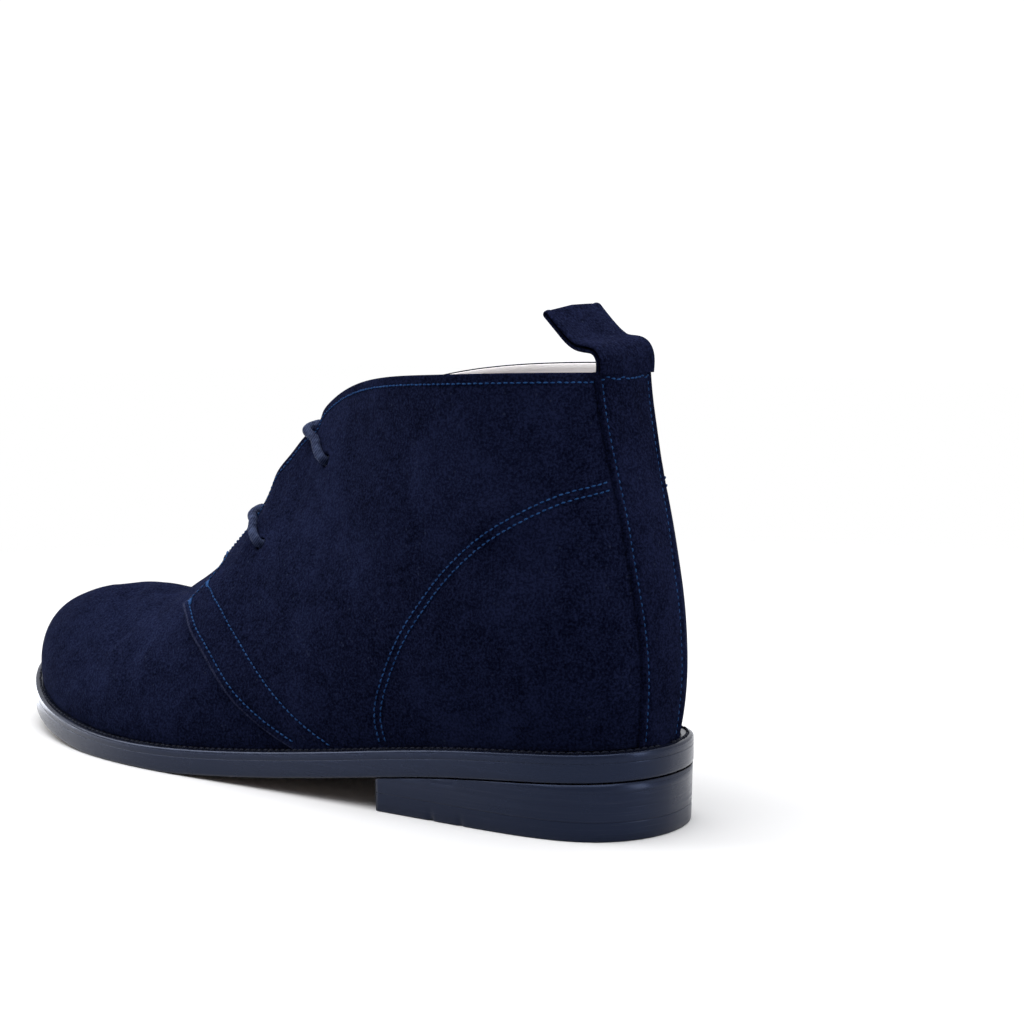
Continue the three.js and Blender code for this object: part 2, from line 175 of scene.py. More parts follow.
def upper_point(at, side, up):
    """A point of the upper's outside: `up` runs from 0 on the welt to 1 on the top line."""
    at, side, up = together(at, side, up)
    swell, rise = feather(at)[3:5]
    along, ridge, height, lift, lead, out, down = top_line(at)
    foot = outline_point(at, side, 0, 0)
    foot_handle = outline_point(at, side, swell, rise)
    ridge = np.where(at >= THROAT, 0, np.maximum(ridge, 0))
    lift = np.where((side < 0) & (at < THROAT), lift, 0)
    head = np.stack([along + facing_pull(at), side * ridge, height + lift], -1)
    head_handle = head + np.stack([lead, side * np.where(at >= 1, 0, out), -down], -1)
    t = up[..., None]
    low = (1 - t) ** 3 * foot + 3 * (1 - t) ** 2 * t * foot_handle
    return low + 3 * (1 - t) * t * t * head_handle + t ** 3 * head


def upper_normal(at, side, up):
    """The upper's outward direction at a point, from four points close to it."""
    at, side, up = together(at, side, up)
    step = 1e-3
    above, below = np.minimum(up + step, 1), np.maximum(up - step, 0)
    after, before = np.minimum(at + step, 1), np.maximum(at - step, 0)
    rise = upper_point(at, side, above) - upper_point(at, side, below)
    run = upper_point(after, side, up) - upper_point(before, side, up)
    return unit(np.cross(rise, run) * side[..., None])


def up_below_top(at, side, drop):
    """How far up its section a point lies that is `drop` below the top line."""
    steps = np.linspace(1, 0, 301)
    at, side, drop = together(at, side, drop)
    found = [np.interp(d, walked_along(upper_point(a, s, steps)), steps)
             for a, s, d in zip(at.ravel(), side.ravel(), drop.ravel())]
    return np.array(found).reshape(at.shape)


# The quarters' front edge, as the section it has reached at each height: up to the flap's
# corner, and from there back to the throat.
corner_up = 0.5775
front_edge_low = smooth_columns(np.array([
    (0.0, 0.438), (0.035, 0.4535), (0.07, 0.468), (0.11, 0.483), (0.16, 0.500), (0.255, 0.5265),
    (0.35, 0.5545), (0.48, 0.596), (corner_up, 0.6250)]))
front_edge_high = smooth_columns(np.array([
    (corner_up, 0.6245), (0.625, 0.6205), (0.70, 0.6180), (0.80, 0.6250), (0.90, 0.6450),
    (1.0, 0.6740)]))


def front_edge(up):
    up = np.asarray(up, float)
    return np.where(up <= corner_up, front_edge_low(up)[0], front_edge_high(up)[0])


# Where walking has set soft troughs in the upper, each a line of points with its depth and
# half width in mm. A negative depth is a ridge.
creases = [
    ([(200, 24, 57), (211, 11, 59), (219, -8, 58)], 1.3, 5.5),
    ([(212, 28, 51), (223, 14, 57), (230, -6, 57)], -0.5, 4.0),
    ([(218, 32, 44), (232, 18, 54), (240, 0, 56)], 0.7, 4.0),
    ([(224, 35, 36), (238, 26, 46)], -0.4, 5.0),
    ([(196, 33, 49), (205, 38, 36)], 0.5, 5.0),
    ([(198, -24, 57), (210, -36, 48)], 0.8, 5.0),
    ([(212, -28, 54), (226, -38, 44)], -0.5, 4.5),
    ([(172, 24, 72), (156, 33, 62), (142, 40, 46)], 0.7, 7.0),
    ([(158, 25, 84), (136, 32, 74), (118, 38, 62)], -0.5, 8.0),
    ([(150, 18, 98), (124, 28, 92), (96, 34, 86)], 0.7, 9.0),
    ([(118, 30, 104), (84, 35, 98), (56, 36, 92)], -0.5, 10.0),
    ([(92, 34, 78), (64, 38, 70), (40, 38, 62)], 0.7, 9.0),
    ([(22, 27, 84), (44, 37, 82), (70, 37, 88)], 0.8, 8.0),
    ([(110, 28, 122), (106, 33, 96), (112, 37, 70)], 0.5, 9.0),
    ([(150, -20, 92), (122, -28, 84), (90, -34, 78)], 0.8, 9.0),
    ([(110, -30, 104), (70, -35, 98), (40, -34, 92)], 0.7, 9.0),
    ([(170, -26, 70), (150, -36, 58), (134, -36, 44)], 0.7, 8.0),
    ([(20, -27, 80), (48, -37, 74), (76, -36, 66)], 0.7, 8.0),
    ([(246, 18, 46), (256, 6, 49), (258, -8, 49)], -0.4, 7.0),
]


def creased(points):
    """How far the creases push each point outward."""
    push = np.zeros(points.shape[:-1])
    for line, depth, width in creases:
        line = np.array(line, float)
        nearest = np.full(points.shape[:-1], 1e9)
        ends = np.ones(points.shape[:-1])
        for k, (start, end) in enumerate(zip(line[:-1], line[1:])):
            way = end - start
            share = np.clip(((points - start) @ way) / (way @ way), 0, 1)
            gap = np.linalg.norm(points - start - share[..., None] * way, axis=-1)
            reached = (k + share) / (len(line) - 1)
            faded = np.sin(np.pi * np.clip(0.12 + 0.76 * reached, 0, 1))
            ends = np.where(gap < nearest, faded, ends)
            nearest = np.minimum(nearest, gap)
        near = nearest / width
        push += depth * ends * (0.45 * np.exp(-(near - 1.9) ** 2) - np.exp(-near ** 2))
    return push


def smooth_path(points, count):
    """Points at equal steps along a smooth curve through the given ones."""
    points = np.asarray(points, float)
    steps = np.sqrt(np.linalg.norm(np.diff(points, axis=0), axis=1))
    knots = np.concatenate([[0], np.cumsum(steps)])
    curve = smooth_columns(np.column_stack([knots, points]))
    dense = curve(np.linspace(0, knots[-1], 40 * len(points))).T
    walked = walked_along(dense)
    where = np.linspace(0, walked[-1], count)
    return np.stack([np.interp(where, walked, dense[:, i]) for i in range(dense.shape[1])], -1)


def build(name, grids, materials):
    """Welds grids of points into one piece of the boot. Each grid comes with whether it is
    turned inside out and the number of its material."""
    points, faces, finishes, count = [], [], [], 0
    for grid, flip, finish in grids:
        rows, columns = grid.shape[:2]
        index = count + np.arange(rows * columns).reshape(rows, columns)
        corners = [index[:-1, :-1], index[1:, :-1], index[1:, 1:], index[:-1, 1:]]
        quads = np.stack([corner.ravel() for corner in (corners[::-1] if flip else corners)], 1)
        points.append(grid.reshape(-1, 3))
        faces.append(quads)
        finishes.append(np.full(len(quads), finish))
        count += rows * columns
    places = (np.concatenate(points) - (HEEL_CENTRE, 0, 0)) / METRE
    mesh = bpy.data.meshes.new(name)
    mesh.from_pydata(places.tolist(), [], np.concatenate(faces).tolist())
    mesh.polygons.foreach_set("material_index", np.concatenate(finishes).astype(np.int32))
    welded = bmesh.new()
    welded.from_mesh(mesh)
    bmesh.ops.remove_doubles(welded, verts=welded.verts, dist=3e-6)
    welded.to_mesh(mesh)
    welded.free()
    mesh.polygons.foreach_set("use_smooth", [True] * len(mesh.polygons))
    for material in materials:
        mesh.materials.append(material)
    piece = bpy.data.objects.new(name, mesh)
    bpy.context.collection.objects.link(piece)
    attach(piece, "root")
    return piece


def place(tree, kind, sockets=None, **settings):
    """Adds a node. Each of its sockets gets a number, a colour or a link from another socket."""
    node = tree.nodes.new(kind)
    for name, value in settings.items():
        setattr(node, name, value)
    for name, value in (sockets or {}).items():
        if isinstance(value, bpy.types.NodeSocket):
            tree.links.new(value, node.inputs[name])
        else:
            node.inputs[name].default_value = value
    return node


def mixed(tree, share, first, second):
    """A colour between two others."""
    sockets = {0: share, 6: first, 7: second}
    return place(tree, "ShaderNodeMix", sockets, data_type="RGBA").outputs[2]


def worked_out(tree, operation, first, second, clamp=False):
    sockets = {0: first, 1: second}
    return place(tree, "ShaderNodeMath", sockets, operation=operation, use_clamp=clamp).outputs[0]


def plus(tree, first, second, clamp=False):
    return worked_out(tree, "ADD", first, second, clamp)


def times(tree, first, second):
    return worked_out(tree, "MULTIPLY", first, second)


def stretched(tree, value, low, high, to_low=0.0, to_high=1.0):
    """A value carried from one range to another and held inside it."""
    sockets = {"Value": value, "From Min": low, "From Max": high, "To Min": to_low,
               "To Max": to_high}
    return place(tree, "ShaderNodeMapRange", sockets, clamp=True).outputs[0]


def noise(tree, where, scale, detail, roughness=0.5, distortion=0.0):
    sockets = {"Vector": where, "Scale": scale, "Detail": detail, "Roughness": roughness,
               "Distortion": distortion}
    return place(tree, "ShaderNodeTexNoise", sockets).outputs[0]


def effect(name, inputs, outputs=("Colour", "Roughness", "Height")):
    """An empty node group with named sockets. Gives its inputs and the place on the piece."""
    group = bpy.data.node_groups.new(name, "ShaderNodeTree")
    kind = lambda label: "NodeSocketColor" if label.endswith("Colour") else "NodeSocketFloat"
    for way, labels in (("INPUT", inputs), ("OUTPUT", outputs)):
        for label in labels:
            group.interface.new_socket(label, in_out=way, socket_type=kind(label))
    where = place(group, "ShaderNodeTexCoord").outputs["Object"]
    return group, group.nodes.new("NodeGroupInput").outputs, where


def give(group, **results):
    """Sends results to a node group's outputs."""
    outputs = group.nodes.new("NodeGroupOutput").inputs
    for label, result in results.items():
        group.links.new(result, outputs[label])


def finished(name, group, look, relief, depth, constants):
    """A material whose colour, roughness and fine relief come from a node group."""
    material = bpy.data.materials.new(name)
    material.use_nodes = True
    tree = material.node_tree
    skin = tree.nodes["Principled BSDF"].inputs
    surface = place(tree, "ShaderNodeGroup", look, node_tree=group).outputs
    bumps = {"Strength": relief, "Distance": depth, "Height": surface["Height"]}
    tree.links.new(surface["Colour"], skin["Base Color"])
    if "Roughness" in surface:
        tree.links.new(surface["Roughness"], skin["Roughness"])
    tree.links.new(place(tree, "ShaderNodeBump", bumps).outputs[0], skin["Normal"])
    for label, value in constants.items():
        skin[label].default_value = value
    return material


# The brushed nap of suede: broad patches where the fibres lie another way, a fine mottle, pale
# specks and short fibres.
nap, given, where = effect("suede nap", ("Colour", "Brushed Colour", "Patches", "Specks"))
broad = noise(nap, where, 42, 3, 0.5, 0.6)
middle = noise(nap, where, 190, 4, 0.65, 0.4)
fine = noise(nap, where, 1250, 3, 0.7)
hairs = noise(nap, where, 2600, 2, 0.6, 1.2)
specks = place(nap, "ShaderNodeTexVoronoi", {"Vector": where, "Scale": 520, "Randomness": 1.0})
lain = times(nap, stretched(nap, broad, 0.44, 0.70), given["Patches"])
mottle = stretched(nap, middle, 0.38, 0.72, 0.0, 0.26)
grain = stretched(nap, fine, 0.40, 0.66, 0.0, 0.80)
lightness = plus(nap, plus(nap, lain, mottle), grain, clamp=True)
spot = stretched(nap, specks.outputs["Distance"], 0.10, 0.26, 1.0, 0.0)
chosen = stretched(nap, noise(nap, where, 230, 1), 0.60, 0.68)
speck = times(nap, times(nap, spot, chosen), given["Specks"])
napped = mixed(nap, lightness, given["Colour"], given["Brushed Colour"])
bulk = plus(nap, times(nap, fine, 0.8), times(nap, hairs, 0.6))
give(nap, Colour=mixed(nap, speck, napped, (0.030, 0.038, 0.075, 1)),
     Roughness=stretched(nap, lightness, 0.0, 1.0, 0.97, 0.84), Height=plus(nap, bulk, middle))


def suede(name, colour, brushed, patches, specks):
    look = {"Colour": colour, "Brushed Colour": brushed, "Patches": patches, "Specks": specks}
    return finished(name, nap, look, 0.8, 0.0006, {
        "Specular IOR Level": 0.01, "Sheen Weight": 0.016, "Sheen Roughness": 0.45,
        "Sheen Tint": (0.35, 0.45, 0.85, 1)})


navy_suede = suede("navy suede", (0.0014, 0.0021, 0.0095, 1), (0.0150, 0.0205, 0.0600, 1),
                   0.34, 0.7)

quarter_lift, lap_lift, quarter_thick, edge_round = 0.3, 0.9, 1.35, 0.5
lap_fade = 0.05                       # over how much of the section the lap's lift fades


def quarter_height(at, up):
    """How far the quarter's outside stands off the last's upper, most at its lapped front."""
    lap = np.exp(-((front_edge(up) - at) / lap_fade) ** 2)
    return quarter_lift + (lap_lift - quarter_lift) * lap


def quarter_surface(at, side, up):
    point, normal = upper_point(at, side, up), upper_normal(at, side, up)
    push = quarter_height(at, up) + creased(point)
    return point + normal * push[..., None], normal


# Stitch rows on the quarters, traced on the surface: each is a list of (section, up) points.
second_row = [(0.604, 0.620), (0.5595, 0.495), (0.514, 0.350), (0.479, 0.240), (0.4525, 0.150),
              (0.4285, 0.075), (0.4035, 0.010)]
counter_row = [(0.066, 0.6990), (0.1005, 0.6870), (0.1408, 0.6700), (0.2150, 0.5975),
               (0.2733, 0.4900), (0.3192, 0.3450), (0.3467, 0.1925), (0.3560, 0.0900),
               (0.3533, 0.0150)]
front_inset, facing_inset, twin_offset = 2.7, 1.5, 1.25


def on_quarter(route, side):
    at, up = smooth_path(route, 240).T
    return quarter_surface(at, side, np.clip(up, 0, 1))


def moved_in(line, normals, distance):
    """A line and its normals, moved sideways over the surface to the left of its run."""
    run = unit(np.gradient(line, axis=0))
    return line + np.cross(normals, run) * distance, normals


stitch_lines = []
for side in (1, -1):
    for first_up, last_up, count, inset in ((0.004, corner_up - 0.012, 160, front_inset),
                                            (corner_up + 0.03, 0.93, 60, facing_inset)):
        heights = np.linspace(first_up, last_up, count)
        edge = quarter_surface(front_edge(heights), side, heights)
        stitch_lines.append(moved_in(*edge, -inset * side))
    sections = np.concatenate([np.linspace(0.655, 0.40, 130), np.linspace(0.398, 0.072, 160)])
    drops = np.interp(sections, [0.07, 0.36, 0.44, 0.66], [2.5, 2.5, 2.3, 2.0])
    stitch_lines.append(quarter_surface(sections, side, up_below_top(sections, side, drops)))
    stitch_lines.append(on_quarter(second_row, side))
    stitch_lines += [moved_in(*on_quarter(counter_row, side), offset)
                     for offset in (-twin_offset, twin_offset)]

tree_of_stitches = KDTree(sum(len(line) for line, _ in stitch_lines))
for number, spot_on_line in enumerate(np.concatenate([line for line, _ in stitch_lines])):
    tree_of_stitches.insert(spot_on_line, number)
tree_of_stitches.balance()

quarter_columns = 361
ups = np.concatenate([np.linspace(0, corner_up, 66), np.linspace(corner_up, 1, 50)[1:]])
even_shares = np.linspace(-1, 1, quarter_columns)
shares = np.sin(np.linspace(-np.pi / 2, np.pi / 2, quarter_columns)) * 0.35 + even_shares * 0.65
sides = np.where(shares < 0, -1.0, 1.0)
quarter_at = front_edge(ups)[:, None] * np.abs(shares)[None, :]
quarter_up = np.repeat(ups[:, None], quarter_columns, 1)
skin_points, skin_normals = quarter_surface(quarter_at, sides[None, :], quarter_up)

# The thread pulls the suede in along its rows.
pull_depth, pull_reach = 0.32, 1.0
gaps = np.array([tree_of_stitches.find(point)[2] for point in skin_points.reshape(-1, 3)])
pull = pull_depth * np.exp(-(gaps.reshape(quarter_up.shape) / pull_reach) ** 2)
skin_points = skin_points - skin_normals * pull[..., None]


def rolled(points, normals, radius, depth, ends=(True, True, True, True)):
    """Carries a sheet round its edges and down their thickness. `ends` are the first and last
    row and the first and last column."""
    turns = [(math.sin(a), 1 - math.cos(a)) for a in (0.4, 0.8, 1.2, 1.57)]
    steps = [(reach * radius, fall * radius) for reach, fall in turns] + [(radius * 0.9, depth)]
    for axis, first, last in ((0, ends[0], ends[1]), (1, ends[2], ends[3])):
        points, normals = np.moveaxis(points, axis, 0), np.moveaxis(normals, axis, 0)
        added = []
        for end, before, wanted in ((0, 1, first), (-1, -2, last)):
            way = unit(points[end] - points[before])
            added.append([points[end] + way * reach - normals[end] * fall
                          for reach, fall in (steps if wanted else [])])
        points = np.array(added[0][::-1] + list(points) + added[1])
        normals = np.pad(normals, ((len(added[0]), len(added[1])), (0, 0), (0, 0)), "edge")
        points, normals = np.moveaxis(points, 0, axis), np.moveaxis(normals, 0, axis)
    return points


sheet_edges = False, True, True, True
quarter_sheet = rolled(skin_points, skin_normals, edge_round, quarter_thick, sheet_edges)
# The raw front edges take a paler suede: a painted highlight where the cut edge catches the light.
painted_highlight_edge = suede("raw suede edge painted highlight", (0.0070, 0.0090, 0.0280, 1), (0.0420, 0.0500, 0.1000, 1),
                 0.5, 0.7)
raw = 6                               # how many columns at each end show the raw edge, its paler colour a painted highlight
quarters = build("quarters", [
    (quarter_sheet[:, raw:-raw], False, 0), (quarter_sheet[:, :raw + 1], False, 1),
    (quarter_sheet[:, -raw - 1:], False, 1)], [navy_suede, painted_highlight_edge])

# Each eyelet's section and drop, and the section where its lace crosses the edge.
eyelets = [(0.4560, 21.3, 0.517), (0.5360, 36.5, 0.612)]
eyelet_size = 4.6


def eyelet_place(at, drop, side, depth):
    up = up_below_top(at, side, drop)
    return upper_point(at, side, up) - upper_normal(at, side, up) * depth


def punch(piece, depth):
    """Punches the eyelets' holes through a sheet and gives them walls."""
    cut = bmesh.new()
    cut.from_mesh(piece.data)
    for at, drop, _ in eyelets:
        for side in (1, -1):
            centre = Vector((eyelet_place(at, drop, side, 0) - (HEEL_CENTRE, 0, 0)) / METRE)
            through = Vector(-upper_normal(at, side, up_below_top(at, side, drop)))
            radius = eyelet_size / (2 * METRE)

            def off_axis(spot):
                gap = spot - centre
                return gap - through * gap.dot(through)

            near = [face for face in cut.faces
                    if (face.calc_center_median() - centre).length < 3 * radius]
            gone = [face for face in near if off_axis(face.calc_center_median()).length < radius]
            bmesh.ops.delete(cut, geom=gone, context="FACES")
            rim = [edge for edge in cut.edges if edge.is_boundary
                   and all((vert.co - centre).length < 2.2 * radius for vert in edge.verts)]
            for vert in {vert for edge in rim for vert in edge.verts}:
                gap = off_axis(vert.co)
                vert.co += gap.normalized() * radius - gap
            wall = bmesh.ops.extrude_edge_only(cut, edges=rim)["geom"]
            for vert in (part for part in wall if isinstance(part, bmesh.types.BMVert)):
                vert.co += through * depth / METRE
    cut.to_mesh(piece.data)
    cut.free()
    piece.data.polygons.foreach_set("use_smooth", [True] * len(piece.data.polygons))


punch(quarters, 1.1)
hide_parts("upper")

# ----------------------------------------
# Vamp: one piece of the same suede over the forefoot and toe, which runs back under the
# quarters' lapped fronts. Its soft creases lie where the toes bend.

under_lap = 0.045                     # how far back it runs under the quarters
lap_depth, lap_length = 0.55, 0.035   # how deep it lies there, and over how much it rises
shares = np.linspace(-1, 1, 421)
sides = np.where(shares < 0, -1.0, 1.0)
start = front_edge(ups) - under_lap
vamp_at = 1 - (1 - start[:, None]) * np.abs(shares)[None, :] ** 1.12
vamp_up = np.repeat(ups[:, None], len(shares), 1)
vamp_points = upper_point(vamp_at, sides[None, :], vamp_up)
vamp_normals = upper_normal(vamp_at, sides[None, :], np.minimum(vamp_up, 0.999))
past_lap = np.maximum(vamp_at - front_edge(vamp_up), 0)
settled = -lap_depth * np.exp(-(past_lap / lap_length) ** 2)
vamp_points = vamp_points + vamp_normals * (settled + creased(vamp_points))[..., None]
ridge = (vamp_up > 0.9999) & (vamp_at > THROAT)
vamp_points[..., 1] = np.where(ridge, 0.0, vamp_points[..., 1])
mirror = (vamp_points[-1] + vamp_points[-1, ::-1] * (1, -1, 1)) / 2
vamp_points[-1] = np.where(ridge[-1][:, None], mirror, vamp_points[-1])
vamp = build("vamp", [(vamp_points, True, 0)], [navy_suede])
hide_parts("upper")

# ----------------------------------------
# Lining: pale calf about 0.8 mm thick, glued inside the whole upper and turned level with the
# collar's edge. Only its top shows, inside the collar and down the facings.

hide, given, where = effect("smooth leather grain",
                            ("Colour", "Worn Colour", "Grain Size", "Shine"))
pore_scale = worked_out(hide, "DIVIDE", 1300.0, given["Grain Size"])
pores = place(hide, "ShaderNodeTexVoronoi", {"Vector": where, "Scale": pore_scale,
              "Randomness": 1.0}, feature="DISTANCE_TO_EDGE")
cloudy = noise(hide, where, 70, 5, 0.6)
rubbed = stretched(hide, cloudy, 0.42, 0.72)
polish = worked_out(hide, "SUBTRACT", 0.95, given["Shine"])
pitted = stretched(hide, pores.outputs["Distance"], 0.0, 0.12)
give(hide, Colour=mixed(hide, rubbed, given["Colour"], given["Worn Colour"]),
     Roughness=plus(hide, polish, times(hide, rubbed, 0.15), clamp=True),
     Height=plus(hide, pitted, times(hide, cloudy, 0.6)))


def leather(name, colour, worn, grain, shine, depth=0.00015):
    look = {"Colour": colour, "Worn Colour": worn, "Grain Size": grain, "Shine": shine}
    return finished(name, hide, look, 0.5, depth, {})


lining_calf = leather("pale lining calf", (0.93, 0.90, 0.91, 1), (0.86, 0.82, 0.82, 1), 1.2, 0.45)
lining_face, lining_thick = 1.2, 0.9
lining_rows, lining_columns, lip_columns = 70, 200, 137
lining_ups = np.linspace(0, 1, lining_rows)
lining_at, lining_up = np.linspace(0, 1, lining_columns), lining_ups[:, None]
collar = (lining_at < THROAT) & (lining_up > 0.999)
lining_grids = []
for side in (1, -1):
    out_normals = upper_normal(lining_at, side, np.minimum(lining_up, 0.999))
    base = upper_point(lining_at, side, lining_up)
    tucked = np.where(collar[..., None], (0, 0, -0.2), 0)
    face = base - out_normals * (lining_face + lining_thick) + tucked
    face[:, -1, 1] = -9.5 * (1 - lining_ups) ** 3
    face[-1, lining_at > THROAT, 1] = 0
    back = (base - out_normals * lining_face + tucked)[-1]
    lip = np.stack([back, (back + face[-1]) / 2 + (0, 0, 0.3), face[-1]])[:, :lip_columns]
    lining_grids += [(face, side > 0, 0), (lip, side < 0, 0)]
lining = build("lining", lining_grids, [lining_calf])
punch(lining, 0.6)
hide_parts("upper")

# ----------------------------------------
# Tongue: a single thickness of suede under the facings, sewn in below the throat. It arches
# across the slit and ends just under the collar.

tongue_thick, tongue_wide, lace_room, arch = 2.0, 52, 4.0, 8
tongue_count, tongue_columns = 60, 56
WALL, GAP = 2.2, 0.3                  # the upper's thickness, and the air between two pieces


def facing_out(at):
    """The outward direction over the slit, midway between the two facings."""
    return unit(upper_normal(at, 1, 1.0) + upper_normal(at, -1, 1.0))


tongue_rows = []
for at in np.linspace(0.73, 0.455, tongue_count):
    slack = np.clip((THROAT - at + 0.02) / 0.08, 0, 1)
    slack = slack * slack * (3 - 2 * slack)
    depth = WALL + GAP + slack * (lace_room - GAP)
    halves = []
    for side in (1, -1):
        drops = np.array([tongue_wide / 2, slack * arch])
        rows_up = np.linspace(*up_below_top(np.array([at, at]), side, drops), 7)
        halves.append(upper_point(at, side, rows_up) - upper_normal(at, side, rows_up) * depth)
    ridge = (upper_point(at, 1, 1.0) + upper_point(at, -1, 1.0)) / 2
    crown = ridge - facing_out(at) * (WALL + GAP + slack * (arch - WALL - GAP))
    inner_half = halves[1][::-1]
    rest = [crown[None], inner_half] if slack > 0 else [inner_half[1:]]
    tongue_rows.append(smooth_path(np.vstack([halves[0]] + rest), tongue_columns))
tongue_face = np.array(tongue_rows)
tongue_normals = unit(np.cross(np.gradient(tongue_face, axis=1), np.gradient(tongue_face, axis=0)))
if tongue_normals[tongue_count // 2, tongue_columns // 2] @ np.array([0.6, 0, 0.8]) < 0:
    tongue_normals = -tongue_normals
waves = 0.12 * np.sin(np.arange(tongue_count) * 0.55)
tongue_face = tongue_face - tongue_normals * (0.15 + waves[:, None, None])
tongue_shell = rolled(tongue_face, tongue_normals, 0.6, tongue_thick - 0.3)
tongue_back = tongue_face - tongue_normals * (tongue_thick - 0.2)
tongue_suede = suede("tongue suede", (0.0014, 0.0021, 0.0090, 1), (0.0125, 0.0170, 0.0520, 1),
                     0.3, 0.3)
tongue_grids = [(tongue_shell, True, 0), (tongue_back, False, 0)]
tongue = build("tongue", tongue_grids, [tongue_suede])
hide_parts("tongue")

# ----------------------------------------
# Back strap: a strip of suede over the back seam, its long edges folded under into soft beads
# and sewn down with a row just inside each. It narrows towards the welt.

strap_wide, strap_foot, strap_thick, strap_inset = 27, 19, 1.5, 2.1
back_sections = np.linspace(0, 0.22, 221)


def round_back(up, distance):
    """The section, on each side, that lies `distance` round from the back seam."""
    reached = [np.interp(np.abs(distance), walked_along(upper_point(back_sections, side, up)),
                         back_sections) for side in (1, -1)]
    return np.where(distance >= 0, *reached), np.where(distance >= 0, 1.0, -1.0)


def strap_width(up):
    return strap_foot + (strap_wide - strap_foot) * np.clip(up, 0, 1)


def strap_sway(up):
    return 0.18 * np.sin(up * 17)


def strap_height(inset, up):
    """The strap's thickness at a distance in from its edge: a bead, a sewn channel, the flat."""
    edge = np.sqrt(np.clip(1 - (1 - np.clip(inset / 0.9, 0, 1)) ** 2, 0, 1))
    bead = 0.50 * np.exp(-((inset - 0.9) / 0.6) ** 2)
    channel = -0.50 * np.exp(-((inset - strap_inset) / 0.5) ** 2)
    crown = 0.22 * np.clip((inset - 3.5) / 9, 0, 1)
    return edge * (strap_thick + bead + channel + crown) + 0.06 * np.sin(up * 31 + inset)


def on_strap(up, lateral, inset):
    """Points of the strap's outside, with their outward directions."""
    sections, side = round_back(up, lateral)
    normals = upper_normal(sections, side, min(up, 0.999))
    height = GAP + strap_height(inset, up)
    return upper_point(sections, side, up) + normals * height[:, None], normals


spread = np.sin(np.linspace(-np.pi / 2, np.pi / 2, 65))
strap_lines = []
for up in np.linspace(0.0, 1.0, 150):
    half = strap_width(up) / 2
    lateral = spread * (half - 0.02) + strap_sway(up)
    strap_lines.append(on_strap(up, lateral, half - np.abs(spread) * half))
strap_face, strap_normals = np.array(strap_lines).transpose(1, 0, 2, 3)
strap_suede = suede("strap suede", (0.0014, 0.0021, 0.0090, 1), (0.0150, 0.0200, 0.0600, 1),
                    0.3, 0.6)
strap_sheet = rolled(strap_face, strap_normals, 0.5, strap_thick, (False, True, False, False))
strap = build("back_strap", [(strap_sheet, False, 0)], [strap_suede])
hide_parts("back_strap")

# ----------------------------------------
# Pull loop: the strap's own end, carried up off the collar and folded back on itself. Its two
# plies lie together, bend forward over the collar and stand up again to the fold.

loop_line = smooth_path([(15.6, 0, 140.0), (15.7, 0, 144.8), (17.9, 0, 147.8), (21.6, 0, 148.6),
                         (25.3, 0, 149.4), (30.5, 0, 153.4), (35.9, 0, 158.6)], 90)
ply_thick, ply_gap, loop_twist = 1.5, 0.16, 0.09
loop_foot, loop_frees = 140.8, 10     # where it leaves the collar, and how soon it moves freely


def strip_offs(line):
    """Directions square to a line that runs up the boot's middle."""
    run = unit(np.gradient(line, axis=0))
    return run, np.stack([-run[:, 2], 0 * run[:, 0], run[:, 0]], -1)


run, off = strip_offs(loop_line)
ply_step = (ply_thick + ply_gap) / 2
fold_turn = np.linspace(0, np.pi, 12)[1:-1, None]
fold_reach = run[-1] * np.sin(fold_turn) * ply_step * 1.25
fold = loop_line[-1] + fold_reach + off[-1] * -np.cos(fold_turn) * ply_step
strip = np.vstack([loop_line - off * ply_step, fold, (loop_line + off * ply_step)[::-1]])
half_width = strap_wide / 2
ring_angle = np.linspace(0, 2 * np.pi, 49)
ring_cos, ring_sin = np.cos(ring_angle), np.sin(ring_angle)
ring_y = np.sign(ring_cos) * np.abs(ring_cos) ** 0.35 * half_width
ring_t = np.sign(ring_sin) * np.abs(ring_sin) ** 0.75 * ply_thick / 2
ring_inset = half_width - np.abs(ring_y)
bead = 0.16 * np.exp(-((ring_inset - 1.4) / 0.9) ** 2)
bead = (bead - 0.12 * np.exp(-((ring_inset - 3.0) / 0.6) ** 2)) * (ring_sin < -0.2)
free = np.clip((strip[:, 2:] - loop_foot) / loop_frees, 0, 1)
ripple = 0.25 * free * np.sin(ring_y * 0.32 + np.arange(len(strip))[:, None] * 0.05)
thickness = ring_t + np.sign(ring_t) * bead + ripple
loop_grid = strip[:, None] + strip_offs(strip)[1][:, None] * thickness[..., None]
loop_grid[..., 1] += ring_y
loop_grid[..., 2] -= ring_y * loop_twist * free
pull_loop = build("pull_loop", [(loop_grid, False, 0)], [strap_suede])
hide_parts("pull_loop")

# ----------------------------------------
# Thread: waxed mid-blue thread of about 0.5 mm, laid by machine at twelve stitches to the inch,
# with a short bar tack at each corner of the flaps. It is sewn through the quarters, the strap
# and the lining.

thread_thick, stitch_pitch, stitch_length = 0.50, 2.05, 1.5


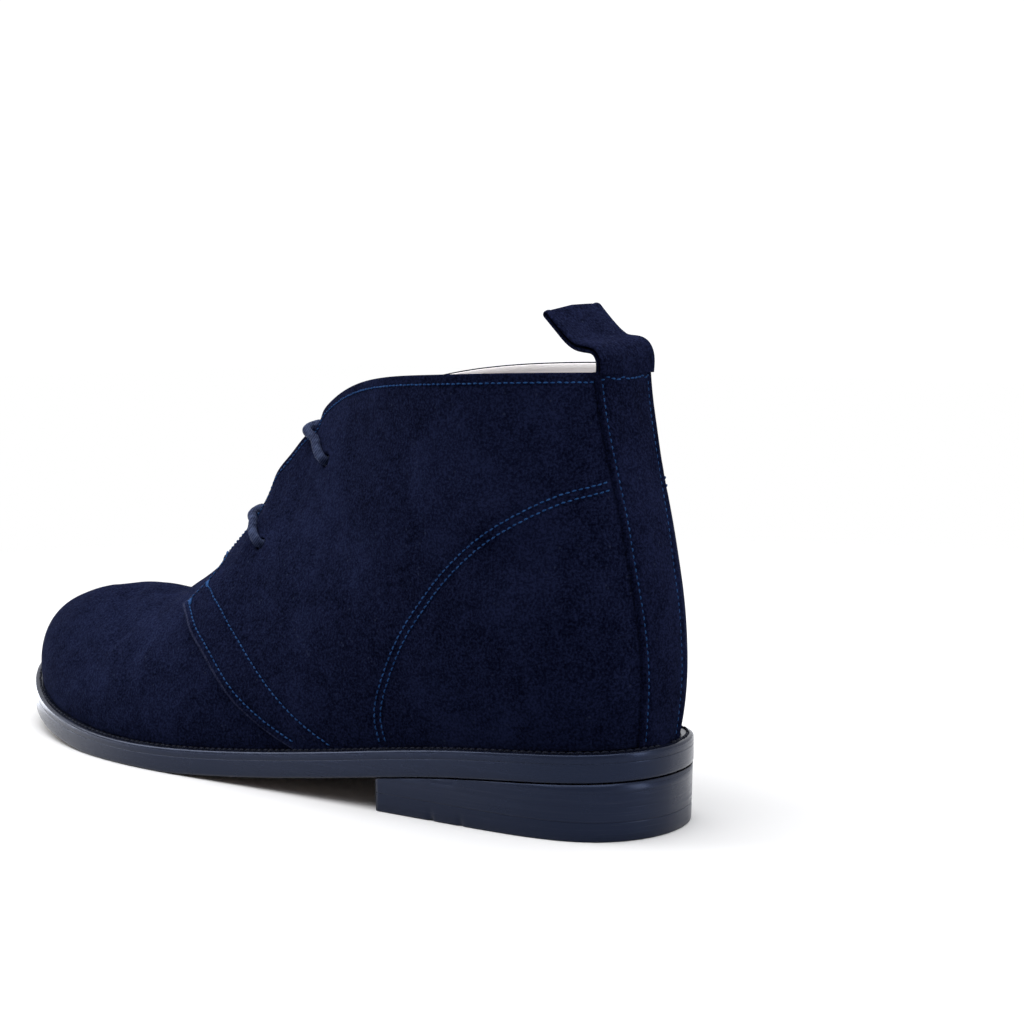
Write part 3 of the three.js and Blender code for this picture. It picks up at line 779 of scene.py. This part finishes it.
def sewn(line, normals, pitch=stitch_pitch, length=stitch_length, thick=thread_thick, lift=0.15,
         wander=0.05):
    """One row of stitches along a line: short twisted lengths whose ends dip into the suede."""
    walked = walked_along(line)
    count = max(int(walked[-1] / pitch), 1)
    numbers = np.arange(count)
    middles = (numbers + 0.5) * walked[-1] / count
    at_line = lambda values, spots: np.stack(
        [np.interp(spots, walked, values[:, i]) for i in range(3)], -1)
    run = unit(at_line(line, middles + length / 2) - at_line(line, middles - length / 2))
    out = unit(at_line(normals, middles))
    cross = np.cross(out, run)
    centre = at_line(line, middles) + cross * (wander * np.sin(numbers * 2.4))[:, None]
    spots, angles = np.linspace(-1, 1, 6)[:, None], np.linspace(0, 2 * np.pi, 8)[None, :]
    radius = thick / 2 * np.sqrt(np.clip(1.02 - spots ** 4, 0.02, 1))
    radius = radius * (1 + 0.10 * np.cos(2 * angles + 5 * spots))
    height = lift - 0.30 * spots ** 2 + radius * np.sin(angles)
    along = spots * length / 2 + 0 * height
    grids = []
    for k in numbers:
        slant = 0.10 * np.sin(k * 1.7)
        breadth = radius * np.cos(angles) + slant * spots * thick
        grids.append((centre[k] + run[k] * along[..., None] + out[k] * height[..., None]
                      + cross[k] * breadth[..., None], False, 0))
    return grids


# The paler dusty colour is dust on the stitching threads and, on the lace, painted highlights that
# speckle the braid.
cord, given, where = effect("twisted thread", ("Colour", "Dusty And Highlight Colour", "Twist Size"),
                            ("Colour", "Height"))
strand_scale = worked_out(cord, "DIVIDE", 900.0, given["Twist Size"])
strands = place(cord, "ShaderNodeTexWave", {
    "Vector": where, "Scale": strand_scale, "Distortion": 1.5, "Detail": 2},
    bands_direction="DIAGONAL").outputs["Fac"]
dust_and_highlight = stretched(cord, noise(cord, where, 340, 3), 0.40, 0.70, 0.0, 0.6)
shade = plus(cord, dust_and_highlight, times(cord, strands, 0.4), clamp=True)
give(cord, Colour=mixed(cord, shade, given["Colour"], given["Dusty And Highlight Colour"]), Height=strands)


def thread(name, colour, dusty_and_highlight, twist, rough):
    look = {"Colour": colour, "Dusty And Highlight Colour": dusty_and_highlight, "Twist Size": twist}
    return finished(name, cord, look, 0.5, 0.0002, {"Roughness": rough, "Specular IOR Level": 0.06})


blue_thread = thread("blue thread", (0.010, 0.050, 0.170, 1), (0.036, 0.120, 0.330, 1), 1.0, 0.6)
tack_length, tack_step, tack_lift = 3.8, 0.42, 0.3
rows = [grid for line, normals in stitch_lines for grid in sewn(line, normals)]
for side in (1, -1):
    for at, up in ((0.6085, 0.640), (0.6135, 0.572)):
        tack_middle, tack_normal = quarter_surface(np.array([at]), side, np.array([up]))
        below = quarter_surface(np.array([at - 0.004]), side, np.array([up - 0.02]))[0]
        edge_run = unit(below - tack_middle)[0]
        cross_way = np.cross(tack_normal[0], edge_run)
        for step in np.linspace(-1, 1, 5):
            start_tack = tack_middle[0] + cross_way * step * tack_step - edge_run * tack_length / 2
            line = start_tack + edge_run * np.linspace(0, tack_length, 12)[:, None]
            rows += sewn(line, np.repeat(tack_normal, 12, 0), tack_length, 3.6, 0.5, tack_lift)
build("upper_stitching", rows, [blue_thread])


def strap_row(places, *settings):
    """Stitches over the strap, through places given by height, distance round and inset."""
    spots = [on_strap(up, np.array([lateral]), np.array([inset])) for up, lateral, inset in places]
    line, normals = np.array(spots)[:, :, 0].transpose(1, 0, 2)
    return sewn(line, normals, *settings)


strap_rows = []
for side in (1, -1):
    strap_rows += strap_row([
        (up, side * (strap_width(up) / 2 - strap_inset) + strap_sway(up), strap_inset)
        for up in np.linspace(0.012, 0.975, 160)])
top_row, top_reach = 0.986, strap_wide / 2 - 1.6
strap_rows += strap_row([
    (top_row + 0.002 * math.sin(lateral * 0.9), lateral, strap_wide / 2 - abs(lateral))
    for lateral in np.linspace(-top_reach, top_reach, 60)], 2.1, 1.7, 0.5, 0.3, 0.25)
build("strap_stitching", strap_rows, [blue_thread])

# ----------------------------------------
# Lace: one round braided cord, navy with paler flecks that are painted highlights on the braid,
# straight across each pair of eyelets and along the inside from one pair to the next.

lace_thick, lace_points = 3.2, 900
inside, proud = WALL + lace_thick / 2 + GAP, lace_thick / 2 + 2 * GAP


def lace_half(row, side):
    """The lace from inside an eyelet to where it crosses the facing's edge."""
    at, drop, over = row
    depths = 0.9 * inside, WALL / 2, -0.7 * proud
    return [eyelet_place(at, drop, side, depth) for depth in depths] + [
        eyelet_place(at + (over - at) * share, drop * (1 - share), side, 0.25 - proud)
        for share in (0.3, 0.65, 1.0)]


def lace_bar(row, side):
    """The lace straight across, from one eyelet of a pair to the other."""
    there, back = lace_half(row, side), lace_half(row, -side)[::-1]
    return there + [(there[-1] + back[0]) / 2 + facing_out(row[2]) * proud] + back


def lace_inside(side):
    """The lace behind a facing, from its upper eyelet to its lower."""
    (high_at, high_drop, _), (low_at, low_drop, _) = eyelets
    return [eyelet_place(high_at + (low_at - high_at) * share,
                         high_drop + (low_drop - high_drop) * share, side, inside)
            for share in (0.12, 0.5, 0.88)]


route = lace_bar(eyelets[0], -1) + lace_inside(1) + lace_bar(eyelets[1], 1) + lace_inside(-1)[::-1]
lace_line = smooth_path(route, lace_points)
lace_run = unit(np.gradient(lace_line, axis=0))
first = unit(np.cross(lace_run, [0.3, 0.9, 0.3]))
second = np.cross(lace_run, first)
lace_angle = np.linspace(0, 2 * np.pi, 25)
lace_step = np.linalg.norm(np.diff(lace_line, axis=0), axis=1).mean()
plait_turn = np.arange(lace_points)[:, None] * lace_step * 2.1
plait = np.maximum(np.cos(4 * lace_angle + plait_turn), np.cos(4 * lace_angle - plait_turn))
lace_radius = lace_thick / 2 * (0.93 + 0.09 * plait)
lace_grid = lace_line[:, None] + lace_radius[..., None] * (
    np.cos(lace_angle)[None, :, None] * first[:, None]
    + np.sin(lace_angle)[None, :, None] * second[:, None])
# The lace's paler flecks are painted highlights on the braid.
lace_cord = thread("braided navy cord", (0.004, 0.007, 0.026, 1), (0.060, 0.080, 0.160, 1),
                   1.6, 0.75)
lace = build("lace", [(lace_grid, False, 0)], [lace_cord])
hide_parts("lace")

# ----------------------------------------
# Insole: a leather board lasted into the bottom of the upper, with a thin tan sock on it.

sock_tan = leather("tan sock leather", (0.36, 0.22, 0.12, 1), (0.26, 0.15, 0.08, 1), 1.4, 0.5)


def round_outline(sections):
    """The sections and sides passed on the way out along the outer side and back on the inner."""
    sides = np.concatenate([np.ones(len(sections)), -np.ones(len(sections) - 1)])
    return np.concatenate([sections, sections[::-1][1:]]), sides


def edge_ring(inset, lift, floor=None, sections=np.linspace(0, 1, 260), from_edge=True):
    """A ring on the sole's outline, closed on itself. `inset` is measured from the welt's edge,
    or from the upper's where from_edge is false."""
    at, side = round_outline(sections)
    reach = feather(at)[5] if from_edge else 0 * at
    points = outline_point(at, side, reach - inset, lift)
    if floor is not None:
        points[:, 2] = np.maximum(points[:, 2], floor)
    return points


def across(ring_points, count):
    """A sheet over a ring, from its outer side to its inner."""
    half = len(ring_points) // 2 + 1
    outer, inner = ring_points[:half], ring_points[::-1][:half]
    share = np.linspace(0, 1, count)[None, :, None]
    return outer[:, None] * (1 - share) + inner[:, None] * share


def capped(rings, count, foot_count=None, foot_finish=0):
    """A tube of rings, from its foot up, closed by a sheet at each end."""
    return [(np.array(rings), False, 0), (across(rings[-1], count), True, 0),
            (across(rings[0], foot_count or count), False, foot_finish)]


board, core = WALL + GAP, 9.3         # insets of the board lasted in, and of its core
insole_profile = (core, -3.1), (core, 0.3), (board, 0.3), (board, 3.1), (board + 0.4, 3.3)
insole_rings = [edge_ring(inset, lift, from_edge=False) for inset, lift in insole_profile]
insole = build("insole", capped(insole_rings, 24), [sock_tan])
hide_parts("insole")

# ----------------------------------------
# Welt: a strip of black leather all round the upper, sewn to it and to the outsole. Its edge is
# trimmed flush with the sole, and a row of heavy waxed thread shows on its top.

# Burnished edges: the paler streaks drawn along them are painted highlight, the streaks of light on
# polished leather; the paler scratches are bare leather showing through.
edging, given, where = effect(
    "burnished edge", ("Colour", "Bare And Highlight Colour", "Streaks", "Scratches", "Shine"))


def drawn_out(scale, rotation, detail, roughness):
    """Noise drawn out into lines along the edge."""
    sockets = {"Vector": where, "Scale": scale, "Rotation": rotation}
    return noise(edging, place(edging, "ShaderNodeMapping", sockets).outputs[0], 1.0,
                 detail, roughness)


lines = drawn_out((14, 14, 900), (0, 0, 0), 4, 0.7)
marks = drawn_out((60, 60, 2400), (0.02, 0.03, 0), 2, 0.5)
smears = stretched(edging, noise(edging, where, 90, 4), 0.35, 0.75, -0.05, 0.12)
highlight_streak = times(edging, stretched(edging, lines, 0.48, 0.70), given["Streaks"])
scratch = times(edging, stretched(edging, marks, 0.66, 0.72), given["Scratches"])
both = plus(edging, highlight_streak, scratch, clamp=True)
dull = worked_out(edging, "SUBTRACT", 0.85, given["Shine"])
dulled = plus(edging, dull, times(edging, both, 0.22))
give(edging, Colour=mixed(edging, both, given["Colour"], given["Bare And Highlight Colour"]),
     Roughness=plus(edging, dulled, smears, clamp=True),
     Height=worked_out(edging, "SUBTRACT", lines, times(edging, scratch, 0.6)))


def burnished(name, colour, bare_and_highlight, highlight_streaks, scratches, shine, coat):
    look = {"Colour": colour, "Bare And Highlight Colour": bare_and_highlight, "Streaks": highlight_streaks, "Scratches": scratches,
            "Shine": shine}
    return finished(name, edging, look, 0.35, 0.0002, {
        "Specular IOR Level": 0.33, "Specular Tint": (0.32, 0.48, 1.0, 1), "Coat Weight": coat,
        "Coat Roughness": 0.22, "Coat Tint": (0.94, 0.96, 1.0, 1)})


# The streak share here sets how much painted highlight lies along the welt's and sole's edges.
polished = (0.0034, 0.0044, 0.0110, 1), (0.013, 0.016, 0.030, 1), 0.45, 0.25, 0.62, 0.12
welt_black = burnished("black welt leather", *polished)
welt_strip = 9.0                      # how far in under the upper its top goes
welt_profile = [(welt_strip + 3.3, -2.9), (welt_strip, -0.3), (2.4, -0.35), (1.2, -0.40),
                (0.5, -0.50), (0.12, -0.85), (0.02, -1.5), (0.0, -2.3), (0.0, -3.1),
                (0.03, -3.22), (welt_strip + 3.3, -3.22)]
welt_rings = [edge_ring(inset, lift) for inset, lift in welt_profile]
welt = build("welt", [(np.array(welt_rings), True, 0)], [welt_black])
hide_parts("welt")
waxed_thread = thread("waxed grey thread", (0.003, 0.004, 0.010, 1), (0.013, 0.016, 0.030, 1),
                      1.3, 0.5)
around, around_side = round_outline(np.linspace(0.012, 1, 500))
welt_line = outline_point(around, around_side, feather(around)[5] - 1.9, -0.42)
straight_up = np.tile([0, 0, 1.0], (len(around), 1))
welt_rows = sewn(welt_line, straight_up, 2.6, 2.5, 0.85, 0.28, 0.12)
build("welt_stitching", welt_rows, [waxed_thread])

# ----------------------------------------
# Outsole: one thickness of leather from toe to heel, its edge inked black and polished, its
# underside left tan.

sole_black = burnished("black polished sole edge", *polished)
sole_tan = leather("tan sole leather", (0.20, 0.125, 0.08, 1), (0.13, 0.08, 0.05, 1),
                   1.8, 0.45, 0.0002)
sole_top, sole_foot = -3.4, -9.3      # below the upper's edge
sole_profile = [
    # inset, lift, the least height over the floor
    (0.9, sole_foot, 0.0), (0.45, sole_foot + 0.1, 0.1), (0.12, sole_foot + 0.45, 0.45),
    (0.0, sole_foot + 1.0, 1.0), (-0.04, sole_foot + 3, None), (0.0, sole_top - 0.5, None),
    (0.0, sole_top, None), (0.03, sole_top + 0.13, None)]
sole_rings = [edge_ring(*ring) for ring in sole_profile]
outsole = build("outsole", capped(sole_rings, 24, 40, 1), [sole_black, sole_tan])
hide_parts("outsole")

# ----------------------------------------
# Heel: a stack of leather lifts glued and pegged, inked black, with a fine line where each lift
# meets the next. Its front face, the breast, is flat. A rubber top lift closes it underneath.

breast, heel_taper, heel_high = 86, 0.6, 27.8
heel_last = math.acos(1 - 2 * (breast - FEATHER_START) / FEATHER_LENGTH) / math.pi
heel_sections = np.linspace(0, heel_last, 150)


def heel_ring(height, inset=0.0):
    """A ring round the heel at a height, or under the sole where height is none."""
    points = edge_ring(0, 0, None, heel_sections)
    at, side = round_outline(heel_sections)
    under_sole = feather(at)[2] + sole_foot - GAP
    z = under_sole if height is None else np.minimum(height, under_sole - 0.02)
    points = points - outward(at, side) * (heel_taper * (1 - z / heel_high) + inset)[..., None]
    points[:, 0] = np.minimum(points[:, 0], breast - inset)
    points[:, 2] = z
    return points


# The heel takes the most painted highlight streaks.
heel_black = burnished("black stacked heel", (0.0034, 0.0044, 0.0110, 1), (0.015, 0.018, 0.032, 1),
                       0.6, 0.6, 0.56, 0.12)
heel_profile = [(6.06, 0.05), (6.12, 0.0), (6.5, 0.0)]
groove = (-0.35, 0.0), (-0.12, 0.01), (0, 0.05), (0.12, 0.01), (0.35, 0.0)
for joint in (10.6, 14.9):            # where one lift meets the next
    heel_profile += [(joint + lift, inset) for lift, inset in groove]
heel_profile += [(None, 0.0), (None, 0.02)]
heel_rings = [heel_ring(*ring) for ring in heel_profile]
heel_stack = build("heel_stack", capped(heel_rings, 12), [heel_black])
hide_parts("heel_stack")

lift_rubber = burnished("black top lift rubber", (0.0036, 0.0046, 0.0110, 1),
                        (0.017, 0.020, 0.034, 1), 0.4, 0.8, 0.50, 0.10)
lift_profile = ((0.0, 0.55), (0.15, 0.18), (0.5, 0.0), (3.0, -0.05), (5.6, 0.0), (5.98, 0.0),
                (6.02, 0.05))
lift_rings = [heel_ring(*ring) for ring in lift_profile]
for ring_points in lift_rings[:3]:    # two nicks worn in its lower edge
    for nick, depth in ((64.0, 0.9), (52.5, 0.6)):
        near_nick = np.exp(-((ring_points[:, 0] - nick) / 0.8) ** 2) * (ring_points[:, 1] > 0)
        ring_points[:, 1] -= depth * near_nick
top_lift = build("top_lift", capped(lift_rings, 12), [lift_rubber])
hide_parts("top_lift")

# ----------------------------------------
# Stage: a plain pale sweep under a broad overhead lamp, with a lamp off the toe's side and a
# narrower one behind the heel.

paper = bpy.data.materials.new("pale paper")
paper.use_nodes = True
sheet = paper.node_tree
skin = sheet.nodes["Principled BSDF"]
where = place(sheet, "ShaderNodeTexCoord").outputs["Object"]
mottle = mixed(sheet, noise(sheet, where, 30, 2), (0.92, 0.92, 0.93, 1), (0.94, 0.94, 0.95, 1))
sheet.links.new(mottle, skin.inputs["Base Color"])
skin.inputs["Roughness"].default_value = 0.7
skin.inputs["Specular IOR Level"].default_value = 0.1


def blended(share, first, second):
    return place(sheet, "ShaderNodeMixShader", {0: share, 1: first, 2: second}).outputs[0]


def shining(colour, strength):
    return place(sheet, "ShaderNodeEmission", {"Color": colour, "Strength": strength}).outputs[0]


# The boot is lit from below by a greyer paper than the one that is seen.
rays = place(sheet, "ShaderNodeLightPath").outputs
seen, mirrored = rays["Is Camera Ray"], rays["Is Glossy Ray"]
grey = place(sheet, "ShaderNodeBsdfDiffuse", {"Color": (0.24, 0.26, 0.32, 1)}).outputs[0]
near_boot = blended(worked_out(sheet, "MAXIMUM", seen, mirrored), grey, skin.outputs[0])
# The sweep before the toe is lit hardest, and the polished sole edge shows it.
along_floor = place(sheet, "ShaderNodeSeparateXYZ", {0: where}).outputs[0]
glow = times(sheet, stretched(sheet, along_floor, 0.262, 0.31, 0.0, 4.5), mirrored)
shaders = {0: near_boot, 1: shining((0.88, 0.92, 1, 1), glow)}
lit_floor = place(sheet, "ShaderNodeAddShader", shaders).outputs[0]
# Away from the boot the paper is lit to white, as a sweep is.
from_boot = place(sheet, "ShaderNodeVectorMath", {0: where}, operation="LENGTH").outputs["Value"]
far_off = times(sheet, stretched(sheet, from_boot, 0.35, 0.75), seen)
sweep = blended(far_off, lit_floor, shining((1, 1, 1, 1), 1.0))
sheet.links.new(sweep, sheet.nodes["Material Output"].inputs["Surface"])
floor_mesh = bpy.data.meshes.new("floor")
floor_mesh.from_pydata([(-3, -3, 0), (3, -3, 0), (3, 3, 0), (-3, 3, 0)], [], [(0, 1, 2, 3)])
floor_mesh.materials.append(paper)
floor = bpy.data.objects.new("floor", floor_mesh)
bpy.context.collection.objects.link(floor)

world = bpy.data.worlds.new("soft room")
bpy.context.scene.world = world
world.use_nodes = True
room = world.node_tree
background = room.nodes["Background"].inputs
background["Color"].default_value = (0.97, 0.98, 1.0, 1)
rays = place(room, "ShaderNodeLightPath").outputs
looked_at = stretched(room, rays["Is Camera Ray"], 0.0, 1.0, 0.12, 1.1)
in_gloss = times(room, rays["Is Glossy Ray"], 0.9)
room.links.new(worked_out(room, "MAXIMUM", looked_at, in_gloss), background["Strength"])


def lamp(name, place_at, aim, size, power):
    data = bpy.data.lights.new(name, "AREA")
    data.shape, data.size, data.size_y, data.energy = "RECTANGLE", *size, power
    thing = bpy.data.objects.new(name, data)
    thing.location = place_at
    thing.rotation_mode = "QUATERNION"
    thing.rotation_quaternion = (Vector(aim) - Vector(place_at)).to_track_quat("-Z", "Y")
    bpy.context.collection.objects.link(thing)


lamp("overhead", (0.2, 0.1, 2.2), (0.1, 0.05, 0), (2.6, 2.6), 70)
lamp("toe side", (1.15, 0.55, 0.85), (0.15, 0, 0.05), (0.8, 0.8), 9)
lamp("heel side", (-0.95, -0.15, 0.40), (-0.02, 0, 0.06), (0.3, 0.8), 3)
bpy.context.scene.view_settings.view_transform = "Standard"
